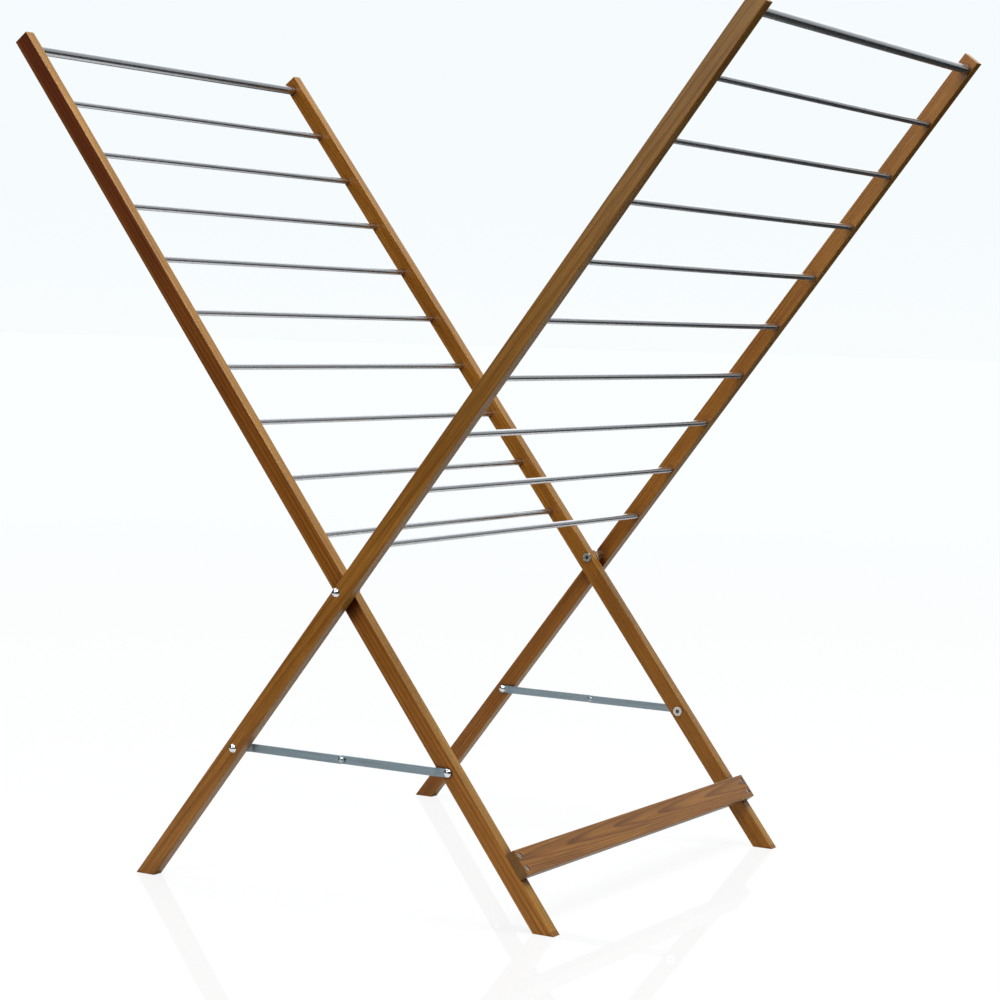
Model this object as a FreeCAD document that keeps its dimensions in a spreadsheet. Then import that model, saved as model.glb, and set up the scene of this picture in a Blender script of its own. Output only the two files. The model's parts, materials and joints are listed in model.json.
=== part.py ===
"""Folding clothes drying rack: two wooden frames with steel bars, crossed on a pivot, held open by stays.

Axes: X across the open rack, Y along the bars, Z up; the origin is on the floor under the pivot.
The inner frame leans to -X at its top and the outer frame to +X.  A rail is made in its frame's own
axes, with the pivot at the origin and Z up the rail, and is then tilted.  Other pieces are placed by
their distance along the rail from the pivot and across it towards the rail's upper edge.
"""

import FreeCAD, Part
import os
import Sketcher

DIMENSIONS = {
    # whole rack, lengths in millimetres
    "tilt": 37.6,             # each rail from the vertical, in degrees
    "pivot_height": 336,
    "depth": 592,             # over the outer rails
    # rails
    "rail_width": 20,
    "rail_thick": 14,
    "rail_gap": 9,            # between an outer rail and the inner rail beside it
    "rail_top": 777,          # from the pivot up to the top end
    "pivot_offset": 5.5,      # pivot above the rail's centre line, so that folded bars pass the rails
    "edge_round": 1,
    # bars, in blind sockets in the rails
    "thin_dia": 7,
    "thick_dia": 11,
    "thin_offset": 5.3,       # bar below the rail's centre line
    "thick_offset": 3,
    "thin_count": 9,
    "lowest_bar": 77.5,       # from the pivot up the rail
    "bar_pitch": 76,
    "top_bar": 763,
    "socket_depth": 10,
    "socket_play": 0.1,       # on the diameter, also of a hole with a bolt fixed in it
    # cross board between the feet of the inner frame
    "board_start": 331,       # from the pivot down the rail to the board's upper edge
    "board_width": 30,
    "board_thick": 11,
    "screw_spacing": 15,
    "screw_dia": 3,
    "screw_length": 22,
    "screw_head_dia": 6,
    "screw_head_height": 2.4,
    "screw_recess": 3,        # depth of the hole for the head
    "pilot_spare": 1,         # hole left beyond the screw's tip
    # pivots
    "shank_dia": 4,
    "dome_dia": 10,
    "dome_height": 2.6,
    "flange_dia": 11.5,
    "flange_thick": 1.5,
    "key_size": 5,            # hexagon key socket, across its corners
    "key_depth": 1.3,
    "barrel_dia": 5.6,
    "bore_start": 3,          # solid length of a pivot barrel behind its key socket
    "end_clearance": 0.5,     # between the pivot bolt's tip and the bottom of the barrel's bore
    "running_play": 0.15,     # on the diameter of a hole that turns on its pin
    "face_play": 0.1,         # between faces that turn on each other
    "spacer_dia": 16,
    # folding stays
    "stay_at": 225,           # from the pivot down the rail
    "arm_height": 9,
    "arm_thick": 2,
    "arm_crank": 2,           # sideways step that brings both arms to the middle of the gap
    "crank_start": 9,         # from the bolt to the step
    "crank_length": 6,
    "washer_dia": 9,
    "washer_thick": 0.35,
    "cap_dia": 9,
    "cap_height": 1.8,
    "cap_bore": 1.1,
    "rivet_dia": 7,
    "rivet_height": 1.5,
    "round_margin": 0.01,     # flat left between the two rounds of an arm's end
}

# Lengths worked out from the driving ones, as expressions
UPPER_EDGE = "(dims.rail_width / 2 - dims.pivot_offset)"
LOWER_EDGE = "(-dims.rail_width / 2 - dims.pivot_offset)"
OUTER_FACE = "(dims.depth / 2)"
OUTER_INSIDE = "(dims.depth / 2 - dims.rail_thick)"
INNER_OUTSIDE = "(dims.depth / 2 - dims.rail_thick - dims.rail_gap)"
INNER_INSIDE = "(dims.depth / 2 - 2 * dims.rail_thick - dims.rail_gap)"
THIN_ACROSS = "(-dims.pivot_offset - dims.thin_offset)"
THICK_ACROSS = "(-dims.pivot_offset - dims.thick_offset)"
STAY_ACROSS = "(-dims.pivot_offset)"
ARM_LENGTH = "(dims.stay_at * sin(dims.tilt) - dims.pivot_offset * cos(dims.tilt))"
ARM_FACE = "(dims.washer_thick + dims.face_play / 2)"
CAP_FACE = f"({ARM_FACE} + dims.arm_thick + dims.face_play / 2)"
BOARD_MIDDLE = "(-dims.board_start - dims.board_width / 2)"
SCREW_ALONGS = [f"({BOARD_MIDDLE} {sign} dims.screw_spacing / 2)" for sign in "+-"]

INSIDE = {"inner": INNER_INSIDE, "outer": OUTER_INSIDE}
GAP_FACE = {"inner": INNER_OUTSIDE, "outer": OUTER_INSIDE}
LEAN = {"inner": -1, "outer": 1}        # tilt about Y, times dims.tilt
OUTWARD = {"front": -1, "back": 1}      # direction along Y from the middle of the rack
X_AXIS = (1, 0, 0)
Y_AXIS = (0, 1, 0)
Z_AXIS = (0, 0, 1)
PARALLEL = 0.99                         # least cosine at which an edge counts as lying along an axis
SAME_POINT = 1e-6
LEAST_CUT = 1e-3                        # cubic millimetres that a pocket must take away

doc = FreeCAD.newDocument("drying_rack")
sheet = doc.addObject("Spreadsheet::Sheet", "dims")
for row, (alias, value) in enumerate(DIMENSIONS.items(), start=1):
    sheet.set(f"A{row}", alias)
    sheet.set(f"B{row}", str(value))
    sheet.setAlias(f"B{row}", alias)
doc.recompute()
nodes = []


def keep(piece, label):
    """Name a finished piece and list it for writing."""
    piece.Label = label
    nodes.append(piece)


def number(expression):
    """The present value of an expression."""
    return float(sheet.evalExpression(expression))


def place(piece, x="0", y="0", z="0", axis=Y_AXIS, angle="0"):
    """Bind a piece's Placement to expressions."""
    turn = "rotation(vector({}; {}; {}); {})".format(*axis, angle)
    piece.setExpression("Placement", f"placement(vector({x}; {y}; {z}); {turn})")


def tilt(piece, frame, y="0"):
    """Stand a piece that was made in its frame's own axes."""
    place(piece, y=y, z="dims.pivot_height", angle=f"{LEAN[frame]} * dims.tilt")


def spot(frame, along, across):
    """X and Z of a point of a frame: along the rail from the pivot, and across to its upper edge."""
    x = f"{LEAN[frame]} * ({along} * sin(dims.tilt) - {across} * cos(dims.tilt))"
    z = f"(dims.pivot_height + {across} * sin(dims.tilt) + {along} * cos(dims.tilt))"
    return x, z


# --- sketches and features ---------------------------------------------------------------------

def sketch_on(body, role, offset="0"):
    """A sketch on one of the body's own origin planes, moved along its normal."""
    sketch = body.newObject("Sketcher::SketchObject", body.Name + "_sketch")
    plane = next(item for item in body.Origin.OriginFeatures if item.Role == role)
    sketch.AttachmentSupport = [(plane, "")]
    sketch.MapMode = "FlatFace"
    sketch.setExpression("AttachmentOffset.Base.z", offset)
    return sketch


def pin_point(sketch, geometry, point, x, y):
    """Hold a point of the sketch at the expressions x and y."""
    for kind, expression in (("DistanceX", x), ("DistanceY", y)):
        held = Sketcher.Constraint(kind, -1, 1, geometry, point, number(expression))
        index = sketch.addConstraint(held)
        sketch.setExpression(f"Constraints[{index}]", expression)


def dome_arc(start, end):
    """An arc from start to end whose centre is on the sketch's vertical axis."""
    height = (end.x**2 + end.y**2 - start.x**2 - start.y**2) / (2 * (end.y - start.y))
    centre = FreeCAD.Vector(0, height, 0)
    middle = (start + end) * 0.5 - centre
    middle.Length = start.distanceToPoint(centre)
    return Part.Arc(start, centre + middle, end)


def outline(sketch, corners, dome=None):
    """A closed outline through corners (pairs of expressions); the side numbered dome is an arc."""
    points = [FreeCAD.Vector(number(x), number(y), 0) for x, y in corners]
    for side, start in enumerate(points):
        end = points[(side + 1) % len(points)]
        shape = dome_arc(start, end) if side == dome else Part.LineSegment(start, end)
        sketch.addGeometry(shape)
        if side == dome:
            sketch.addConstraint(Sketcher.Constraint("PointOnObject", side, 3, -2))
    for side, (x, y) in enumerate(corners):
        for geometry in (side - 1) % len(corners), side:
            starts_here = sketch.getPoint(geometry, 1).distanceToPoint(points[side]) < SAME_POINT
            pin_point(sketch, geometry, 1 if starts_here else 2, x, y)


def circles(sketch, centres, diameter):
    """Equal circles about centres (pairs of expressions)."""
    for x, y in centres:
        centre = FreeCAD.Vector(number(x), number(y), 0)
        radius = number(diameter) / 2
        circle = sketch.addGeometry(Part.Circle(centre, FreeCAD.Vector(0, 0, 1), radius))
        pin_point(sketch, circle, 3, x, y)
        index = sketch.addConstraint(Sketcher.Constraint("Diameter", circle, 2 * radius))
        sketch.setExpression(f"Constraints[{index}]", diameter)


def hexagon(sketch, across_corners):
    """A hexagon with two of its corners on the sketch's horizontal axis."""
    radius = f"{across_corners} / 2"
    outline(sketch, [(f"{radius} * cos({turn})", f"{radius} * sin({turn})") for turn in range(0, 360, 60)])


def pad(body, sketch, length, backwards=False, both_ways=False):
    """The sketch made solid along its normal, to one side or half to each."""
    feature = body.newObject("PartDesign::Pad", body.Name + "_pad")
    feature.Profile = sketch
    feature.setExpression("Length", length)
    feature.Reversed = backwards
    feature.Midplane = both_ways
    return feature


def pocket(body, sketch, depth=None, backwards=False):
    """A pocket of the given depth, or right through."""
    feature = body.newObject("PartDesign::Pocket", body.Name + "_pocket")
    feature.Profile = sketch
    feature.Reversed = backwards
    if depth is None:
        feature.Type = "ThroughAll"
    else:
        feature.setExpression("Length", depth)
    return feature


def round_edges(body, feature, radius, chosen):
    """Round the feature's straight edges for which chosen(the edge's direction) is true."""
    doc.recompute()
    names = []
    for index, edge in enumerate(feature.Shape.Edges, start=1):
        if edge.Curve.TypeId == "Part::GeomLine" and chosen(edge.Curve.Direction):
            names.append(f"Edge{index}")
    fillet = body.newObject("PartDesign::Fillet", body.Name + "_fillet")
    fillet.Base = (feature, names)
    fillet.setExpression("Radius", radius)


def turned(label, corners, dome=None):
    """A body turned about its local Y axis; corners are (radius, distance along Y)."""
    body = doc.addObject("PartDesign::Body", label)
    sketch = sketch_on(body, "XY_Plane")
    outline(sketch, corners, dome)
    revolution = body.newObject("PartDesign::Revolution", label + "_turning")
    revolution.Profile = sketch
    revolution.ReferenceAxis = (sketch, ["V_Axis"])
    revolution.Angle = 360
    return body


# --- wooden pieces -----------------------------------------------------------------------------

def make_rail(frame, side):
    """A rail, with the face that the bars enter in its frame's XZ plane."""
    to_upper = -LEAN[frame]
    outer_side = side == "back"
    body = doc.addObject("PartDesign::Body", f"{frame}_rail_{side}")

    def foot(edge):
        return f"-(dims.pivot_height + {edge} * sin(dims.tilt)) / cos(dims.tilt)"

    def at(across, along):
        return (f"{to_upper} * {across}", along)

    profile = sketch_on(body, "XZ_Plane")
    outline(profile, [
        at(LOWER_EDGE, "dims.rail_top"),
        at(UPPER_EDGE, "dims.rail_top"),
        at(UPPER_EDGE, foot(UPPER_EDGE)),
        at(LOWER_EDGE, foot(LOWER_EDGE)),
    ])
    blank = pad(body, profile, "dims.rail_thick", backwards=outer_side)
    round_edges(body, blank, "dims.edge_round", lambda way: abs(way.z) > PARALLEL)

    top_socket = sketch_on(body, "XZ_Plane")
    circles(top_socket, [at(THICK_ACROSS, "dims.top_bar")], "dims.thick_dia + dims.socket_play")
    pocket(body, top_socket, "dims.socket_depth", backwards=not outer_side)

    through = sketch_on(body, "XZ_Plane")
    pivot_hole = {
        "inner": "dims.barrel_dia + dims.running_play",
        "outer": "dims.shank_dia + dims.socket_play",
    }
    circles(through, [("0", "0")], pivot_hole[frame])
    circles(through, [at(STAY_ACROSS, "-dims.stay_at")], "dims.shank_dia + dims.socket_play")
    pocket(body, through, backwards=not outer_side)

    if frame == "inner":
        pilots = sketch_on(body, "YZ_Plane", offset=UPPER_EDGE)
        middle = f"{OUTWARD[side]} * dims.rail_thick / 2"
        circles(pilots, [(middle, along) for along in SCREW_ALONGS], "dims.screw_dia + dims.socket_play")
        pocket(body, pilots, "dims.screw_length - dims.board_thick + dims.screw_recess + dims.pilot_spare")

    sockets = sketch_on(body, "XZ_Plane")
    circles(sockets, [at(THIN_ACROSS, "dims.lowest_bar")], "dims.thin_dia + dims.socket_play")
    lowest = pocket(body, sockets, "dims.socket_depth", backwards=not outer_side)
    doc.recompute()
    pattern = body.newObject("PartDesign::LinearPattern", body.Name + "_sockets")
    pattern.Originals = [lowest]
    pattern.Direction = (sockets, ["V_Axis"])
    pattern.setExpression("Length", "dims.bar_pitch * (dims.thin_count - 1)")
    pattern.setExpression("Occurrences", "dims.thin_count")
    body.Tip = pattern

    tilt(body, frame, y=f"{OUTWARD[side]} * {INSIDE[frame]}")
    keep(body, body.Name)


def make_cross_board():
    """The board on the inner rails' upper edges, with a recessed hole for each screw."""
    body = doc.addObject("PartDesign::Body", "cross_board")
    outer_surface = f"({UPPER_EDGE} + dims.board_thick)"
    lower_end = "(-dims.board_start - dims.board_width)"
    section = sketch_on(body, "XZ_Plane")
    outline(section, [
        (UPPER_EDGE, lower_end),
        (outer_surface, lower_end),
        (outer_surface, "-dims.board_start"),
        (UPPER_EDGE, "-dims.board_start"),
    ])
    blank = pad(body, section, f"2 * {INNER_OUTSIDE}", both_ways=True)
    round_edges(body, blank, "dims.edge_round", lambda way: abs(way.y) > PARALLEL)
    reach = f"({INNER_OUTSIDE} - dims.rail_thick / 2)"
    places = [(f"{sign}{reach}", along) for sign in ("-", "") for along in SCREW_ALONGS]
    for diameter, depth in (("dims.screw_dia", None), ("dims.screw_head_dia", "dims.screw_recess")):
        holes = sketch_on(body, "YZ_Plane", offset=outer_surface)
        circles(holes, places, f"{diameter} + dims.socket_play")
        pocket(body, holes, depth)
    tilt(body, "inner")
    keep(body, "cross_board")
    return places


# --- steel pieces ------------------------------------------------------------------------------

def make_bar(frame, label, diameter, along, across):
    """A round bar from socket to socket."""
    bar = doc.addObject("Part::Cylinder", label)
    half = f"({INSIDE[frame]} + dims.socket_depth - dims.face_play)"
    bar.setExpression("Radius", f"{diameter} / 2")
    bar.setExpression("Height", f"2 * {half}")
    x, z = spot(frame, along, across)
    place(bar, x, f"-{half}", z, axis=X_AXIS, angle="-90")
    keep(bar, label)


def make_bars(frame):
    """One thick bar at the top of a frame, and thin bars evenly spaced below it."""
    make_bar(frame, f"{frame}_top_bar", "dims.thick_dia", "dims.top_bar", THICK_ACROSS)
    for index in range(DIMENSIONS["thin_count"]):
        along = f"(dims.lowest_bar + {index} * dims.bar_pitch)"
        make_bar(frame, f"{frame}_bar_{index + 1}", "dims.thin_dia", along, THIN_ACROSS)


def headed_pin(label, head_dia, head_height, length, domed=True):
    """A pin along +Y with its head below Y = 0, domed or flat."""
    head = f"{head_dia} / 2"
    shank = "dims.shank_dia / 2"
    rim = [] if domed else [(head, f"-{head_height}")]
    corners = [("0", f"-{head_height}")] + rim
    corners += [(head, "0"), (shank, "0"), (shank, length), ("0", length)]
    return turned(label, corners, dome=0 if domed else None)


def cut_key_socket(body, surface):
    """A hexagon key socket cut along +Y from the plane Y = -surface."""
    key = sketch_on(body, "XZ_Plane", offset=surface)
    hexagon(key, "dims.key_size")
    pocket(body, key, "dims.key_depth")


def ring(label, outer_dia, bore_dia, length):
    """A plain ring from Y = 0 along +Y."""
    bore = f"({bore_dia}) / 2"
    edge = f"{outer_dia} / 2"
    return turned(label, [(bore, "0"), (edge, "0"), (edge, length), (bore, length)])


def make_board_screws(places):
    """The recessed cylinder-head screws through the cross board into the rails, two at each end."""
    screws = []
    for index, (y, along) in enumerate(places, start=1):
        shank = "dims.screw_dia / 2"
        head = "dims.screw_head_dia / 2"
        under = "-dims.screw_head_height"
        screw = turned(f"board_screw_{index}", [
            ("0", under), (head, under), (head, "0"), (shank, "0"),
            (shank, "dims.screw_length"), ("0", "dims.screw_length"),
        ])
        key = sketch_on(screw, "XZ_Plane", offset="dims.screw_head_height")
        hexagon(key, "dims.screw_dia")
        pocket(screw, key, "dims.key_depth")
        seat = f"{UPPER_EDGE} + dims.board_thick - dims.screw_recess"
        place(screw, seat, y, along, axis=Z_AXIS, angle="90")
        screws.append(screw)
    group = doc.addObject("Part::Compound", "board_screws")
    group.Links = screws
    tilt(group, "inner")
    keep(group, "board_screws")


def make_pivot(side):
    """A domed bolt through the outer rail, a spacer, and a key-headed barrel that the inner rail turns on."""
    out = OUTWARD[side]
    inwards = "0" if side == "front" else "180"
    outwards = "180" if side == "front" else "0"
    height = "dims.pivot_height"

    reach = "(2 * dims.rail_thick + dims.rail_gap - dims.bore_start - dims.end_clearance)"
    bolt = headed_pin(f"pivot_bolt_{side}", "dims.dome_dia", "dims.dome_height", reach)
    place(bolt, y=f"{out} * {OUTER_FACE}", z=height, axis=Z_AXIS, angle=inwards)
    keep(bolt, bolt.Name)

    spacer = ring(f"pivot_spacer_{side}", "dims.spacer_dia", "dims.shank_dia + dims.socket_play",
                  "dims.rail_gap - dims.face_play")
    place(spacer, y=f"{out} * {OUTER_INSIDE}", z=height, axis=Z_AXIS, angle=inwards)
    keep(spacer, spacer.Name)

    barrel = "dims.barrel_dia / 2"
    bore = "(dims.shank_dia + dims.socket_play) / 2"
    flange = "dims.flange_dia / 2"
    under = "-dims.face_play"
    surface = "(dims.face_play + dims.flange_thick)"
    length = "(dims.rail_thick + dims.face_play)"
    sleeve = turned(f"pivot_sleeve_{side}", [
        ("0", f"-{surface}"), (flange, f"-{surface}"), (flange, under), (barrel, under),
        (barrel, length), (bore, length), (bore, "dims.bore_start"), ("0", "dims.bore_start"),
    ])
    cut_key_socket(sleeve, surface)
    place(sleeve, y=f"{out} * {INNER_INSIDE}", z=height, axis=Z_AXIS, angle=outwards)
    keep(sleeve, sleeve.Name)


def make_stay_pin(frame, side):
    """The bolt through a rail that a stay arm turns on, and its cap in the gap between the rails."""
    x, z = spot(frame, "-dims.stay_at", STAY_ACROSS)
    into_gap = -OUTWARD[side] * LEAN[frame]
    angle = "0" if into_gap > 0 else "180"
    # an outer rail's bolt comes from the rack's outside, an inner rail's from the inside
    head_face = {"inner": INNER_INSIDE, "outer": OUTER_FACE}

    length = f"(dims.rail_thick + {CAP_FACE} + dims.cap_bore - dims.face_play)"
    label = f"{frame}_stay_bolt_{side}"
    if frame == "outer":
        bolt = headed_pin(label, "dims.dome_dia", "dims.dome_height", length)
    else:
        bolt = headed_pin(label, "dims.flange_dia", "dims.flange_thick", length, domed=False)
        cut_key_socket(bolt, "dims.flange_thick")
    place(bolt, x, f"{OUTWARD[side]} * {head_face[frame]}", z, axis=Z_AXIS, angle=angle)
    keep(bolt, label)

    bore = "(dims.shank_dia + dims.socket_play) / 2"
    cap = turned(f"{frame}_stay_cap_{side}", [
        (bore, "0"), ("dims.cap_dia / 2", "0"), ("0", "dims.cap_height"),
        ("0", "dims.cap_bore"), (bore, "dims.cap_bore"),
    ], dome=1)
    face = f"({OUTWARD[side]} * {GAP_FACE[frame]} + {into_gap} * {CAP_FACE})"
    place(cap, x, face, z, axis=Z_AXIS, angle=angle)
    keep(cap, cap.Name)

    washer = ring(f"{frame}_stay_washer_{side}", "dims.washer_dia", "dims.shank_dia + dims.socket_play",
                  "dims.washer_thick")
    place(washer, x, f"{OUTWARD[side]} * {GAP_FACE[frame]}", z, axis=Z_AXIS, angle=angle)
    return washer


def make_stay_arm(frame, side):
    """A stay arm from its rail's bolt to the knuckle, and its half of the knuckle's rivet."""
    body = doc.addObject("PartDesign::Body", f"{frame}_stay_arm_{side}")
    profile = sketch_on(body, "XY_Plane")
    tail = "-dims.arm_height / 2"
    nose = f"{ARM_LENGTH} + dims.arm_height / 2"
    step_end = "dims.crank_start + dims.crank_length"
    outline(profile, [
        (tail, "0"), ("dims.crank_start", "0"), (step_end, "dims.arm_crank"),
        (nose, "dims.arm_crank"), (nose, "dims.arm_crank + dims.arm_thick"),
        (step_end, "dims.arm_crank + dims.arm_thick"), ("dims.crank_start", "dims.arm_thick"),
        (tail, "dims.arm_thick"),
    ])
    blank = pad(body, profile, "dims.arm_height", both_ways=True)
    end_radius = "dims.arm_height / 2 - dims.round_margin"
    round_edges(body, blank, end_radius, lambda way: abs(way.y) > PARALLEL)
    holes = sketch_on(body, "XZ_Plane", offset="-dims.arm_crank - 2 * dims.arm_thick")
    circles(holes, [("0", "0"), (ARM_LENGTH, "0")], "dims.shank_dia + dims.running_play")
    pocket(body, holes, backwards=True)

    # the arm's local X runs from its bolt to the knuckle, and local Y from its rail into the gap
    turns = {
        ("outer", "front"): (Z_AXIS, "0"),
        ("outer", "back"): (X_AXIS, "180"),
        ("inner", "front"): (Z_AXIS, "180"),
        ("inner", "back"): (Y_AXIS, "180"),
    }
    axis, angle = turns[frame, side]
    x, z = spot(frame, "-dims.stay_at", STAY_ACROSS)
    into_gap = -OUTWARD[side] * LEAN[frame]
    rail_side = f"({OUTWARD[side]} * {GAP_FACE[frame]} + {into_gap} * {ARM_FACE})"
    place(body, x, rail_side, z, axis, angle)
    keep(body, body.Name)

    rivet = headed_pin(f"{frame}_knuckle_rivet_{side}", "dims.rivet_dia", "dims.rivet_height",
                       "dims.arm_thick")
    place(rivet, "0", f"{rail_side} + {into_gap} * dims.arm_crank", z,
          axis=Z_AXIS, angle="0" if into_gap > 0 else "180")
    keep(rivet, rivet.Name)


# --- the rack ----------------------------------------------------------------------------------

for frame in LEAN:
    for side in OUTWARD:
        make_rail(frame, side)
    make_bars(frame)
    washers = doc.addObject("Part::Compound", f"{frame}_stay_washers")
    washers.Links = [make_stay_pin(frame, side) for side in OUTWARD]
    keep(washers, washers.Name)
    for side in OUTWARD:
        make_stay_arm(frame, side)
screw_places = make_cross_board()
make_board_screws(screw_places)
for side in OUTWARD:
    make_pivot(side)

doc.recompute()

for item in doc.Objects:
    if {"Invalid", "Error"} & set(item.State):
        raise RuntimeError(f"{item.Label} did not recompute: {item.State}")
    if item.TypeId == "PartDesign::Pocket" and item.Shape.Volume >= item.BaseFeature.Shape.Volume - LEAST_CUT:
        raise RuntimeError(f"{item.Label} cuts nothing")
for node in nodes:
    if node.Shape.isNull() or not node.Shape.isValid():
        raise RuntimeError(f"{node.Label} has no valid shape")

os.makedirs("parts", exist_ok=True)
for node in nodes:
    node.Shape.exportStep(f"parts/{node.Label}.step")
print(len(nodes), "pieces written")
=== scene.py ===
"""Looks of the folding clothes drying rack: stained wood, chrome bars and zinc-plated stays.

Every CAD node keeps its own mesh and gets a procedural material.  Lengths are in metres.
A wood material works in its piece's own axes, with Z along the grain, so that faces, edges and end
grain are all cuts through one block of wood.
"""

import json
import math
from collections import namedtuple

import bpy
from mathutils import Euler, Matrix, Vector


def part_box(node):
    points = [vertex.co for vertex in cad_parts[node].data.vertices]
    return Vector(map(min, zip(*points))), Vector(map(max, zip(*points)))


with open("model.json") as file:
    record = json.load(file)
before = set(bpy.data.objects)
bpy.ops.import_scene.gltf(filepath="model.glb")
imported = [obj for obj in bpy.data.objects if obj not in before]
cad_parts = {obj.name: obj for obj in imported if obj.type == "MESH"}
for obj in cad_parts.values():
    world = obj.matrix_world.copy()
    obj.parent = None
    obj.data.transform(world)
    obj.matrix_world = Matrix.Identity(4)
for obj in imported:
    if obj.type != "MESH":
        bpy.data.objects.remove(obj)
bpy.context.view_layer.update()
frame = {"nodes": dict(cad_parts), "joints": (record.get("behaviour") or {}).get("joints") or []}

MM = 0.001


# --- places worked out from the frame ------------------------------------------------------------

def middle(node):
    """The middle of a CAD node's box."""
    low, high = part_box(node)
    return (low + high) / 2


FOLD = next(joint for joint in frame["joints"] if joint["name"] == "fold")
PIVOT = Vector(FOLD["pos_m"])
UP_INNER = (middle("inner_bar_9") - middle("inner_bar_1")).normalized()
UP_OUTER = (middle("outer_bar_9") - middle("outer_bar_1")).normalized()
ALONG_BARS = Vector((0, 1, 0))
RAIL_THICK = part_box("outer_rail_front")[1].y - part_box("outer_rail_front")[0].y
RAIL_WIDTH = 20 * MM
BOARD_WIDTH = 30 * MM
BOARD_THICK = 11 * MM


# --- camera --------------------------------------------------------------------------------------

# fitted to the places of the rack's corners, pivots and bar ends in the photograph
CAMERA_FROM_PIVOT = Vector((1.4944, -2.4537, 0.2889))
CAMERA_AZIMUTH = math.radians(30.97)
CAMERA_DOWN = math.radians(2.02)
CAMERA_ROLL = math.radians(1.37)
SENSOR_WIDTH = 36                 # in millimetres, as the lens is
FOCAL_IN_FRAMES = 2.4617          # focal length over the sensor's width
SHIFT_Y = -0.0873


def make_camera():
    """The camera at the photograph's viewing angle."""
    turn_down = math.cos(CAMERA_DOWN)
    forward = Vector((
        -math.sin(CAMERA_AZIMUTH) * turn_down,
        math.cos(CAMERA_AZIMUTH) * turn_down,
        -math.sin(CAMERA_DOWN),
    ))
    level_right = Vector((math.cos(CAMERA_AZIMUTH), math.sin(CAMERA_AZIMUTH), 0))
    level_up = level_right.cross(forward)
    right = level_right * math.cos(CAMERA_ROLL) + level_up * math.sin(CAMERA_ROLL)
    up = level_up * math.cos(CAMERA_ROLL) - level_right * math.sin(CAMERA_ROLL)
    data = bpy.data.cameras.new("camera")
    data.sensor_width = SENSOR_WIDTH
    data.lens = SENSOR_WIDTH * FOCAL_IN_FRAMES
    data.shift_y = SHIFT_Y
    camera = bpy.data.objects.new("camera", data)
    turn = Matrix((right, up, -forward)).transposed().to_4x4()
    camera.matrix_world = Matrix.Translation(PIVOT + CAMERA_FROM_PIVOT) @ turn
    bpy.context.scene.collection.objects.link(camera)
    bpy.context.scene.camera = camera


# --- shader helpers ------------------------------------------------------------------------------

def rgb(red, green, blue):
    """An 8-bit display colour as a linear colour."""
    levels = [level / 255 for level in (red, green, blue)]
    linear = [v / 12.92 if v <= 0.04045 else ((v + 0.055) / 1.055) ** 2.4 for v in levels]
    return (*linear, 1)


def grey(level):
    """A linear grey."""
    return (level, level, level, 1)


class Shader:
    """A material's or world's node tree, with short ways to add nodes."""

    def __init__(self, owner):
        owner.use_nodes = True
        self.tree = owner.node_tree
        self.tree.nodes.clear()

    def add(self, kind, inputs=None, **settings):
        """A node whose inputs are values, or sockets to link."""
        node = self.tree.nodes.new("ShaderNode" + kind)
        for name, value in settings.items():
            setattr(node, name, value)
        for name, value in (inputs or {}).items():
            if isinstance(value, bpy.types.NodeSocket):
                self.tree.links.new(value, node.inputs[name])
            else:
                node.inputs[name].default_value = value
        return node

    def math(self, operation, a, b=0.0, clamp=False):
        """The result of a Math node."""
        return self.add("Math", {0: a, 1: b}, operation=operation, use_clamp=clamp).outputs[0]

    def vector(self, operation, a, b):
        """The vector result of a Vector Math node."""
        return self.add("VectorMath", {0: a, 1: b}, operation=operation).outputs[0]

    def dot(self, a, b):
        """The dot product of two vectors."""
        return self.add("VectorMath", {0: a, 1: b}, operation="DOT_PRODUCT").outputs["Value"]

    def length(self, a):
        """The length of a vector."""
        return self.add("VectorMath", {0: a}, operation="LENGTH").outputs["Value"]

    def span(self, value, low, high, to_low=0.0, to_high=1.0, smooth=False):
        """value from low..high stretched to to_low..to_high, and held at those ends."""
        kind = "SMOOTHSTEP" if smooth else "LINEAR"
        node = self.add("MapRange", {
            "Value": value, "From Min": low, "From Max": high, "To Min": to_low, "To Max": to_high,
        }, interpolation_type=kind)
        return node.outputs[0]

    def noise(self, vector, scale, detail=3.0, roughness=0.5):
        """A Noise texture's value."""
        return self.add("TexNoise", {
            "Vector": vector, "Scale": scale, "Detail": detail, "Roughness": roughness,
        }).outputs[0]

    def mix(self, share, first, second, blend="MIX"):
        """A Mix node's colour."""
        sockets = {0: share, 6: first, 7: second}
        return self.add("Mix", sockets, data_type="RGBA", blend_type=blend).outputs[2]

    def ramp(self, value, *stops):
        """A colour ramp through (place, colour) stops."""
        node = self.add("ValToRGB", {0: value})
        elements = node.color_ramp.elements
        elements[0].position, elements[0].color = stops[0]
        elements[1].position, elements[1].color = stops[-1]
        for place, colour in stops[1:-1]:
            elements.new(place).color = colour
        return node.outputs[0]

    def output(self, surface, kind="Material"):
        """Link the finished surface."""
        self.add("Output" + kind, {"Surface": surface})


def assign(node, material):
    """Put one material on a CAD node."""
    slots = frame["nodes"][node].data.materials
    slots.clear()
    slots.append(material)


# --- wood ----------------------------------------------------------------------------------------

WAVE_PERIOD = 2 * math.pi / 20      # spacing of a Wave texture's rings at scale 1
TONE_MIDDLE = 0.36

# pale, middle and dark wood
RAIL_COLOURS = (rgb(152, 102, 38), rgb(120, 73, 15), rgb(78, 38, 4))
BOARD_COLOURS = (rgb(140, 96, 42), rgb(108, 68, 22), rgb(74, 40, 10))

RAIL_RINGS = 2.4 * MM               # from one growth ring to the next
RAIL_RING_CONTRAST = 0.2
BOARD_RINGS = 1.2 * MM
BOARD_RING_CONTRAST = 0.34

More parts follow.
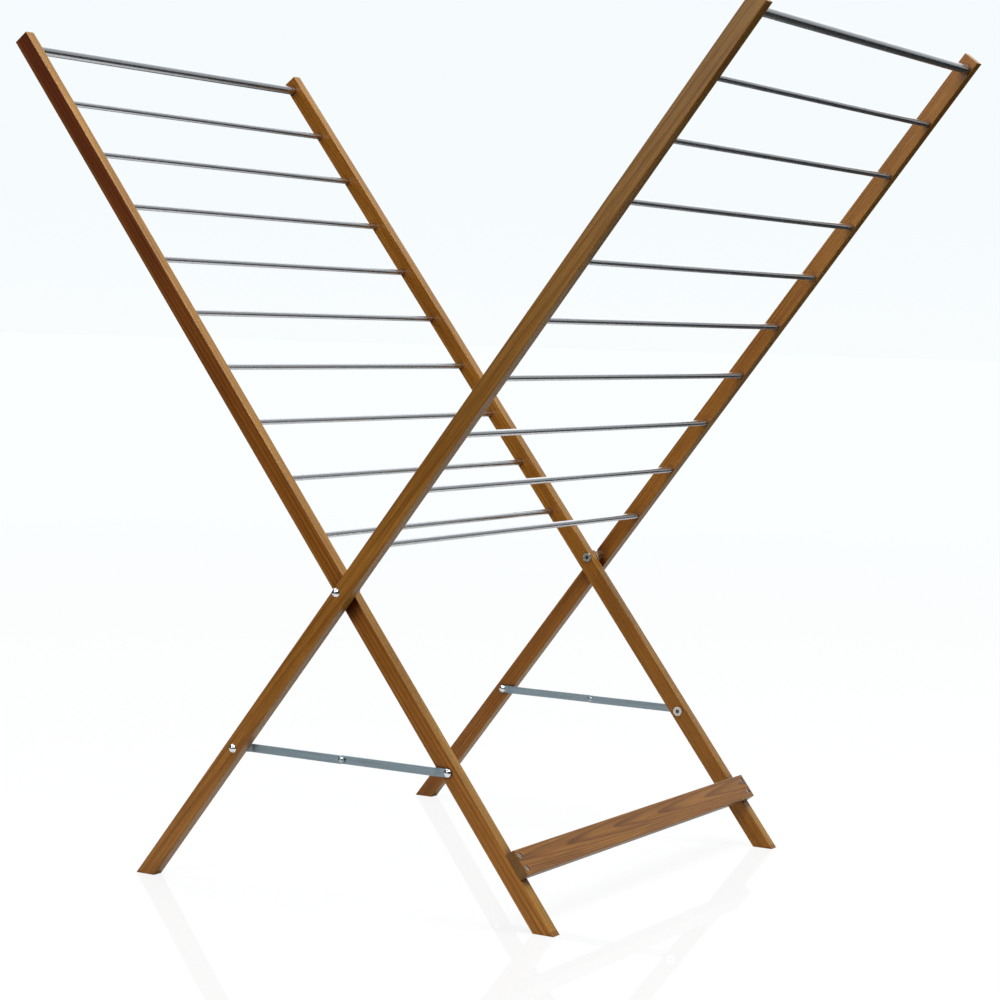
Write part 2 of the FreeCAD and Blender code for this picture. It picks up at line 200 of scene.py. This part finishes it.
VARNISH = (1.0, 0.9, 0.74, 1)       # the varnish warms what it reflects
EDGE_TINT = (0.96, 1.17, 1.42, 1)   # the planed edges are paler and less orange
# painted shade: the dark maroon laid on the wood where other pieces occlude it
CREVICE_SHADE_TINT = (0.3, 0.12, 0.06, 1)
CREVICE = 30 * MM                   # how far round a joint the wood is darkened by painted shade
END_GRAIN = 1.5 * MM                # depth of the darker ends
RELIEF = 0.04 * MM                  # depth of the grain under the varnish
RELIEF_STRENGTH = 0.12

# how a rail was cut: as in Block, and the tints at its high and low ends, part wood colour and part
# painted light and shade along the rail
Cut = namedtuple("Cut", "pith lean seed tint_top tint_foot")
RAIL_CUTS = {
    "inner_rail_front": Cut(
        pith=(0.030, 0.055, 0), lean=0.008, seed=1.7,
        tint_top=(0.36, 0.15, 0.05, 1), tint_foot=(1.12, 1.08, 0.85, 1),
    ),
    "inner_rail_back": Cut(
        pith=(-0.026, 0.020, 0), lean=-0.020, seed=4.2,
        tint_top=(0.94, 0.91, 0.7, 1), tint_foot=(1.05, 1.02, 0.8, 1),
    ),
    "outer_rail_front": Cut(
        pith=(0.020, -0.070, 0), lean=0.010, seed=7.9,
        tint_top=(0.86, 1.02, 1.5, 1), tint_foot=(1.02, 1.0, 0.9, 1),
    ),
    "outer_rail_back": Cut(
        pith=(-0.035, -0.050, 0), lean=-0.009, seed=11.3,
        tint_top=(1.15, 1.2, 1.4, 1), tint_foot=(0.84, 0.74, 0.6, 1),
    ),
}
NO_TINT = (1, 1, 1, 1)


class Block:
    """A piece's place in the wood it was cut from: its own axes, its size and its growth rings.

    pith is where the middle of the rings lies across the piece.  lean tilts the pith to the grain,
    which draws the rings out into long arches.  seed picks a different stretch of wood.
    ring_contrast is how much darker a ring's late wood is.
    """

    def __init__(self, origin, axes, size, pith, lean, seed, ring_spacing, ring_contrast):
        self.origin = origin
        self.turn = Matrix(axes).transposed().to_euler()
        self.size = size
        self.pith = pith
        self.lean = Euler(lean)
        self.seed = seed
        self.ring_spacing = ring_spacing
        self.ring_contrast = ring_contrast


def wood_tone(s, own, block):
    """How dark the wood is at a place, and the fibre, ring and pore patterns behind it."""
    shifted = s.vector("ADD", own, (0, 0, block.seed))
    from_pith = s.add("Mapping", {
        "Vector": own, "Location": block.pith, "Rotation": block.lean,
    }, vector_type="TEXTURE").outputs[0]
    bent = s.vector("ADD", s.vector("MULTIPLY", from_pith, (1, 1, 0.08)), (0, 0, block.seed))
    rings = s.add("TexWave", {
        "Vector": bent, "Scale": WAVE_PERIOD / block.ring_spacing, "Distortion": 2.2, "Detail": 2.0,
        "Detail Scale": 0.35, "Detail Roughness": 0.5,
    }, wave_type="RINGS", rings_direction="Z", wave_profile="SAW").outputs["Fac"]
    late = s.span(rings, 0.45, 1.0, smooth=True)

    def field(stretch, scale, detail):
        return s.noise(s.vector("MULTIPLY", shifted, stretch), scale, detail, 0.55)

    fibre = field((1, 1, 0.02), 1700, 4)
    streak = field((1, 1, 0.012), 560, 3)
    band = field((1, 1, 0.05), 90, 2)
    patch = field((1, 1, 0.25), 24, 2)
    pores = s.span(field((1, 1, 0.04), 3200, 1), 0.66, 0.74)

    tone = s.math("MULTIPLY", late, block.ring_contrast)
    for part, share in ((fibre, 0.5), (streak, 0.62), (band, 0.3), (patch, 0.36)):
        swing = s.math("MULTIPLY", s.math("SUBTRACT", part, 0.5), share)
        tone = s.math("ADD", tone, swing)
    return s.math("ADD", tone, TONE_MIDDLE, clamp=True), fibre, late, pores


def wood(name, block, colours, tint_top, tint_foot):
    """Stained wood under a thin satin varnish.

    The two tints colour the wide faces, at the high end and at the low end of the grain; they are part
    wood colour and part painted light and shade.
    """
    pale, mid, dark = colours
    material = bpy.data.materials.new(name)
    s = Shader(material)
    here = s.add("TexCoord").outputs["Object"]
    own = s.add("Mapping", {
        "Vector": here, "Location": block.origin, "Rotation": block.turn,
    }, vector_type="TEXTURE").outputs[0]
    tone, fibre, late, pores = wood_tone(s, own, block)
    colour = s.ramp(tone, (0.12, pale), (0.45, mid), (0.85, dark))
    colour = s.mix(s.math("MULTIPLY", pores, 0.4), colour, dark)

    across, thick, along = s.add("SeparateXYZ", {0: own}).outputs
    width, thickness, length = block.size
    width_share = s.math("DIVIDE", s.math("ABSOLUTE", across), width / 2)
    thickness_share = s.math("DIVIDE", s.math("ABSOLUTE", thick), thickness / 2)
    rise = s.span(along, -length / 2, length / 2, smooth=True)
    on_face = s.span(thickness_share, 0.9, 0.99, smooth=True)
    # painted light and shade: the wide faces grade from the foot tint to the top tint along the rail
    tint = s.mix(on_face, EDGE_TINT, s.mix(rise, tint_foot, tint_top))
    colour = s.mix(1.0, colour, tint, "MULTIPLY")

    # the long corners are a little paler, partly rubbed varnish and partly a painted highlight where the
    # rounded arrises catch the light; and end grain drinks the stain
    corner = s.math("MINIMUM", width_share, thickness_share)
    worn_and_highlit_corner = s.math("MULTIPLY", s.span(corner, 0.86, 0.99, smooth=True),
                    s.span(fibre, 0.35, 0.65, 0.05, 0.25))
    colour = s.mix(worn_and_highlit_corner, colour, pale)
    end_grain = s.span(s.math("ABSOLUTE", along), length / 2 - END_GRAIN, length / 2, smooth=True)
    colour = s.mix(s.math("MULTIPLY", end_grain, 0.45), colour, dark)

    # painted shade: the wood is darkened where ambient occlusion finds other pieces close by, but the
    # feet near the floor stay clear of it
    unoccluded = s.add("AmbientOcclusion", {"Distance": CREVICE}, samples=8).outputs["AO"]
    height = s.add("SeparateXYZ", {0: here}).outputs[2]
    painted_shade = s.math("MULTIPLY", s.span(unoccluded, 0.88, 0.5), s.span(height, CREVICE, 2 * CREVICE))
    colour = s.mix(painted_shade, colour, s.mix(1.0, colour, CREVICE_SHADE_TINT, "MULTIPLY"))

    relief = s.math("ADD", s.math("MULTIPLY", fibre, 0.25), s.math("MULTIPLY", late, 0.3))
    relief = s.math("SUBTRACT", relief, s.math("MULTIPLY", pores, 0.4))
    bump = s.add("Bump", {"Height": relief, "Distance": RELIEF, "Strength": RELIEF_STRENGTH})
    surface = s.add("BsdfPrincipled", {
        "Base Color": colour, "Roughness": s.span(fibre, 0.3, 0.7, 0.32, 0.38),
        "Normal": bump.outputs[0], "Specular IOR Level": 0.34, "Specular Tint": VARNISH,
    })
    s.output(surface.outputs[0])
    return material


def dress_rails():
    """A wood material for each rail, cut from a different part of the tree."""
    for node, cut in RAIL_CUTS.items():
        grain = UP_INNER if node.startswith("inner") else UP_OUTER
        axes = (ALONG_BARS.cross(grain), ALONG_BARS, grain)
        low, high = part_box(node)
        size = (RAIL_WIDTH, RAIL_THICK, (high.z - low.z) / grain.z)
        lean = (cut.lean, cut.lean / 2, 0)
        block = Block(middle(node), axes, size, cut.pith, lean, cut.seed, RAIL_RINGS, RAIL_RING_CONTRAST)
        assign(node, wood(node + "_wood", block, RAIL_COLOURS, cut.tint_top, cut.tint_foot))


def dress_board():
    """The cross board, sawn through the rings so that they show as long arches."""
    out = UP_INNER.cross(ALONG_BARS)
    axes = (UP_INNER, -out, ALONG_BARS)
    low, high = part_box("cross_board")
    size = (BOARD_WIDTH, BOARD_THICK, high.y - low.y)
    pith = (0.004, 0.030, 0)
    lean = (0.011, 0, 0)
    block = Block(middle("cross_board"), axes, size, pith, lean, 15.6, BOARD_RINGS, BOARD_RING_CONTRAST)
    assign("cross_board", wood("cross_board_wood", block, BOARD_COLOURS, NO_TINT, NO_TINT))


# --- metals --------------------------------------------------------------------------------------

# patterns of the metal's lines: coordinates are multiplied by these
DRAWN_ALONG_Y = (2500, 60, 2500)
DRAWN_ALONG_X = (14, 800, 800)
TURNED = (900, 900, 900)
CLOUD_SCALE = 45
KEY_SOCKET = 5 * MM                 # across the corners of the hexagon
RECESS_SHADE_RIM = (KEY_SOCKET * 0.46, KEY_SOCKET * 0.52)     # radii over which the recess's painted shade ends
RECESS_SHADE = rgb(84, 92, 104)


def metal(name, colour, roughness, lines, line_depth, streaks=0.1, socket_at=None):
    """Plated steel with drawing lines, slight clouds in the plating and an uneven gloss.

    lines scales the coordinates, so a small number along one axis draws lines along it, and streaks
    is how strongly they show.  socket_at is a point on the axis of a key socket, whose recess gets
    painted shade.
    """
    material = bpy.data.materials.new(name)
    s = Shader(material)
    here = s.add("TexCoord").outputs["Object"]
    drawn = s.noise(s.vector("MULTIPLY", here, lines), 1, roughness=0.65)
    clouds = s.noise(here, CLOUD_SCALE)
    darker = tuple(part * 0.7 for part in colour[:3]) + (1,)
    tint = s.mix(s.span(clouds, 0.3, 0.7, 0, 0.25), colour, darker)
    tint = s.mix(s.span(drawn, 0.35, 0.65, 0, streaks), tint, darker)
    # painted shade: the key socket's recess is painted a dark blue-grey
    if socket_at is not None:
        from_axis = s.vector("MULTIPLY", s.vector("SUBTRACT", here, socket_at), (1, 0, 1))
        tint = s.mix(s.span(s.length(from_axis), *RECESS_SHADE_RIM), RECESS_SHADE, tint)
    shine = s.math("ADD", s.span(clouds, 0.3, 0.7, roughness * 0.8, roughness * 1.2),
                   s.span(drawn, 0.4, 0.6, 0, roughness * 0.3))
    bump = s.add("Bump", {"Height": drawn, "Distance": line_depth, "Strength": 0.4})
    surface = s.add("BsdfPrincipled", {
        "Base Color": tint, "Metallic": 1.0, "Roughness": shine, "Normal": bump.outputs[0],
    })
    s.output(surface.outputs[0])
    return material


def dress_steel():
    """Chrome bars and domes, nickel key heads, and zinc-plated stays and small parts."""
    bar = metal("bar_chrome", rgb(206, 208, 210), 0.2, DRAWN_ALONG_Y, 0.001 * MM)
    dome = metal("dome_chrome", rgb(226, 228, 230), 0.13, TURNED, 0.002 * MM)
    stay = metal("stay_zinc", rgb(158, 176, 184), 0.34, DRAWN_ALONG_X, 0.02 * MM, streaks=0.8)
    rivet = metal("rivet_zinc", rgb(172, 178, 182), 0.26, TURNED, 0.01 * MM)
    spacer = metal("spacer_zinc", rgb(222, 214, 190), 0.28, TURNED, 0.01 * MM)
    screw = metal("screw_zinc", rgb(210, 212, 212), 0.2, TURNED, 0.01 * MM)
    for node in frame["nodes"]:
        if "_bar" in node:
            assign(node, bar)
        elif "stay_arm" in node:
            assign(node, stay)
        elif "spacer" in node or "washer" in node:
            assign(node, spacer)
        elif "screws" in node:
            assign(node, screw)
        elif "sleeve" in node or node.startswith("inner_stay_bolt"):
            assign(node, metal(node + "_nickel", rgb(226, 222, 212), 0.24, TURNED, 0.01 * MM,
                               socket_at=middle(node)))
        elif "rivet" in node:
            assign(node, rivet)
        elif "bolt" in node or "cap" in node:
            assign(node, dome)


# --- studio --------------------------------------------------------------------------------------

# what the camera sees
FLOOR_REACH = 60.0
FLOOR_GLOSS = 0.07                          # share of a mirror image in the floor
SHADOW_SHARE = grey(0.06)                   # part of the floor's white that lights and shadows change
GLOW_NEAR = 1.0                             # distances over which the floor takes the horizon's glow
GLOW_FAR = 6.0
HORIZON = rgb(249, 253, 254)
SKY = rgb(246, 251, 254)
SKY_STARTS = 0.045                          # sine of the angle above the horizon

# what reflections and bounced light meet
SWEEP_MIDDLE = Vector((-0.4, 0.1, 0))       # the lit white sweep lies under and behind the rack
SWEEP_LIT = 0.9                             # radius that is fully white
SWEEP_END = 1.6                             # radius past which the room is dark
SWEEP_WHITE = grey(0.5)
ROOM_DARK = grey(0.04)
CARD_TOWARDS = Vector((-0.5, 0.8, 0.3)).normalized()
CARD_EDGE = 0.55                            # cosines of the angle from the card's middle
CARD_CORE = 0.92
CARD_GLOW = 1.5
ROOM_GLOW = 0.07                            # the room towards the front
ROOM_GLOW_AHEAD = 0.45                      # the room towards the back
ROOM_TURNS = (-0.1, 0.5)                    # cosines to the back between which the one becomes the other
ROOM_TINT = (0.94, 0.97, 1, 1)

LIGHTS = {
    # place, size across and up, power in watts
    "key": ((0.9, -2.5, 2.6), (1.6, 1.6), 64),
    "high_left": ((-1.8, -1.2, 3.0), (2.0, 2.0), 34),
    "front_fill": ((-1.2, -3.6, 1.7), (1.2, 1.2), 26),
    "right": ((2.6, 0.1, 2.6), (2.2, 1.6), 30),
    "overhead": ((0.9, 0.3, 3.6), (2.0, 2.0), 148),
}
LIGHTS_FACE = Vector((0, 0, 0.45))


def floor_material():
    """White to the eye; in gloss and bounced light, a white sweep with a dark room round it."""
    material = bpy.data.materials.new("floor_white")
    s = Shader(material)
    here = s.add("TexCoord").outputs["Object"]
    glow = s.mix(s.span(s.length(here), GLOW_NEAR, GLOW_FAR), grey(0.9), HORIZON)
    white = s.add("AddShader", {
        0: s.add("BsdfDiffuse", {"Color": SHADOW_SHARE}).outputs[0],
        1: s.add("Emission", {"Color": glow}).outputs[0],
    })
    mirror = s.add("BsdfGlossy", {"Color": grey(1), "Roughness": 0.0})
    seen = s.add("MixShader", {0: FLOOR_GLOSS, 1: white.outputs[0], 2: mirror.outputs[0]})

    from_sweep = s.vector("SUBTRACT", here, SWEEP_MIDDLE)
    past_sweep = s.span(s.length(from_sweep), SWEEP_LIT, SWEEP_END, smooth=True)
    paper = s.mix(past_sweep, SWEEP_WHITE, ROOM_DARK)
    bounced = s.add("BsdfDiffuse", {"Color": paper})
    is_seen = s.add("LightPath").outputs["Is Camera Ray"]
    both = s.add("MixShader", {0: is_seen, 1: bounced.outputs[0], 2: seen.outputs[0]})
    s.output(both.outputs[0])
    return material


def make_floor():
    """A wide white floor."""
    mesh = bpy.data.meshes.new("floor")
    r = FLOOR_REACH
    mesh.from_pydata([(-r, -r, 0), (r, -r, 0), (r, r, 0), (-r, r, 0)], [], [(0, 1, 2, 3)])
    floor = bpy.data.objects.new("floor", mesh)
    bpy.context.scene.collection.objects.link(floor)
    mesh.materials.append(floor_material())


def make_world():
    """A pale backdrop for the eye; gloss reflects a white card behind the rack and a dim room."""
    world = bpy.data.worlds.new("studio")
    bpy.context.scene.world = world
    s = Shader(world)
    direction = s.add("TexCoord").outputs["Generated"]
    height = s.add("SeparateXYZ", {0: direction}).outputs[2]
    seen = s.mix(s.span(s.math("ABSOLUTE", height), 0.0, SKY_STARTS), HORIZON, SKY)
    to_card = s.dot(direction, CARD_TOWARDS)
    card = s.span(to_card, CARD_EDGE, CARD_CORE, 0.0, CARD_GLOW, smooth=True)
    ahead = s.dot(direction, ALONG_BARS)
    dim = s.span(ahead, *ROOM_TURNS, ROOM_GLOW, ROOM_GLOW_AHEAD, smooth=True)
    backdrop = s.add("Background", {"Color": seen, "Strength": 1.0})
    room = s.add("Background", {"Color": ROOM_TINT, "Strength": s.math("MAXIMUM", card, dim)})
    path = s.add("LightPath").outputs
    is_seen = s.math("MAXIMUM", path["Is Camera Ray"], path["Is Singular Ray"])
    both = s.add("MixShader", {0: is_seen, 1: room.outputs[0], 2: backdrop.outputs[0]})
    s.output(both.outputs[0], "World")


def softbox(name, place, size, power):
    """A rectangular studio light that faces the rack."""
    data = bpy.data.lights.new(name, "AREA")
    data.shape = "RECTANGLE"
    data.size, data.size_y = size
    data.energy = power
    light = bpy.data.objects.new(name, data)
    light.location = place
    towards = LIGHTS_FACE - Vector(place)
    light.rotation_euler = towards.to_track_quat("-Z", "Y").to_euler()
    light.visible_camera = False
    bpy.context.scene.collection.objects.link(light)


def make_lights():
    """A high key from the front, a high light from each side, a low front fill and a top light."""
    for name, (place, size, power) in LIGHTS.items():
        softbox(name, place, size, power)


make_camera()
bpy.context.scene.view_settings.view_transform = "Standard"
make_floor()
make_world()
make_lights()
dress_rails()
dress_board()
dress_steel()
